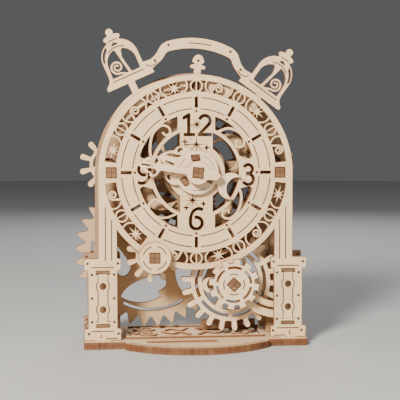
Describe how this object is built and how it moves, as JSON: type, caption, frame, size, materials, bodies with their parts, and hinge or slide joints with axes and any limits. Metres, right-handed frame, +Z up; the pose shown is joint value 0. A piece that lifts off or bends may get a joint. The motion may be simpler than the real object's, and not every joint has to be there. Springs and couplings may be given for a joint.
{
  "type": "mechanical alarm clock model",
  "caption": "Openwork plywood alarm clock model with an arched dial on pillars, visible gear wheels, geared hands and a rocking twin bell with a carrying handle.",
  "frame": {"origin": "middle of the base board's underside", "axes": "+Z up, -Y towards the dial's front, +X to the viewer's right"},
  "size_m": [0.1492, 0.0791, 0.2012],
  "materials": {
    "birch_ply": "bare sanded birch plywood with laser-browned edges",
    "burnt_wood": "laser-cut plywood edge, browned",
    "base_wood": "bare plywood with a browned edge"
  },
  "bodies": {
    "frame": {"base_board": "base_wood", "base_deck": "birch_ply", "name_plate": "birch_ply", "deck_rail": "birch_ply", "front_plate": "birch_ply", "middle_plate": "birch_ply", "back_plate": "birch_ply", "left_tie": "burnt_wood", "right_tie": "burnt_wood", "left_back_tie": "burnt_wood", "right_back_tie": "burnt_wood", "left_upper_rail": "burnt_wood", "left_lower_rail": "burnt_wood", "right_upper_rail": "burnt_wood", "right_lower_rail": "burnt_wood", "bell_peg": "burnt_wood", "minute_stud": "burnt_wood", "click_spring": "birch_ply"},
    "bells": {"bell_plate": "birch_ply"},
    "drive": {"drive_axle": "burnt_wood", "winding_knob": "birch_ply", "knob_collar": "birch_ply", "drive_pinion": "birch_ply", "drive_front_collar": "birch_ply", "drive_rear_collar": "birch_ply", "drive_wheel": "birch_ply"},
    "centre": {"centre_axle": "burnt_wood", "minute_hand": "birch_ply", "minute_collar": "birch_ply", "cannon_pinion": "birch_ply", "centre_wheel": "birch_ply", "centre_front_collar": "birch_ply", "centre_rear_collar": "birch_ply", "transfer_wheel": "birch_ply"},
    "motion": {"minute_wheel": "birch_ply", "minute_pinion": "birch_ply"},
    "hour": {"hour_hand": "birch_ply", "hour_bearing": "birch_ply", "hour_wheel": "birch_ply", "hour_peg_1": "burnt_wood", "hour_peg_2": "burnt_wood", "hour_peg_3": "burnt_wood"},
    "alarm": {"alarm_axle": "burnt_wood", "front_gear": "birch_ply", "front_gear_collar": "birch_ply", "finger_collar": "birch_ply", "finger_wheel": "birch_ply"},
    "left_side": {"left_axle": "burnt_wood", "left_pinion": "birch_ply", "left_collar": "birch_ply"},
    "right_side": {"right_axle": "burnt_wood", "right_pinion": "birch_ply", "right_collar": "birch_ply"}
  },
  "joints": [
    {"name": "bell_rock", "type": "hinge", "parent": "frame", "child": "bells", "pos_m": [0, -0.0072, 0.1655], "axis": [0, -1, 0], "range_deg": [0, 11.4]},
    {"name": "drive_turn", "type": "hinge", "parent": "frame", "child": "drive", "pos_m": [-0.02681, 0.008, 0.05754], "axis": [0, -1, 0], "continuous": true},
    {"name": "centre_turn", "type": "hinge", "parent": "frame", "child": "centre", "pos_m": [0, 0.008, 0.111], "axis": [0, -1, 0], "continuous": true},
    {"name": "motion_turn", "type": "hinge", "parent": "frame", "child": "motion", "pos_m": [0, -0.006, 0.0921], "axis": [0, -1, 0], "continuous": true},
    {"name": "hour_turn", "type": "hinge", "parent": "frame", "child": "hour", "pos_m": [0, -0.01, 0.111], "axis": [0, -1, 0], "continuous": true},
    {"name": "alarm_turn", "type": "hinge", "parent": "frame", "child": "alarm", "pos_m": [0.0234, -0.002, 0.04], "axis": [0, -1, 0], "continuous": true},
    {"name": "left_turn", "type": "hinge", "parent": "frame", "child": "left_side", "pos_m": [-0.0552, 0.023, 0.1154], "axis": [0, -1, 0], "continuous": true},
    {"name": "right_turn", "type": "hinge", "parent": "frame", "child": "right_side", "pos_m": [0.0534, 0.029, 0.1165], "axis": [0, -1, 0], "continuous": true}
  ],
  "couplings": [
    {"joint": "centre_turn", "follows": "drive_turn", "ratio": -0.33333},
    {"joint": "motion_turn", "follows": "drive_turn", "ratio": 0.16667},
    {"joint": "hour_turn", "follows": "drive_turn", "ratio": -0.027778},
    {"joint": "alarm_turn", "follows": "drive_turn", "ratio": 0.5},
    {"joint": "left_turn", "follows": "drive_turn", "ratio": -3},
    {"joint": "right_turn", "follows": "drive_turn", "ratio": 0.84848}
  ]
}
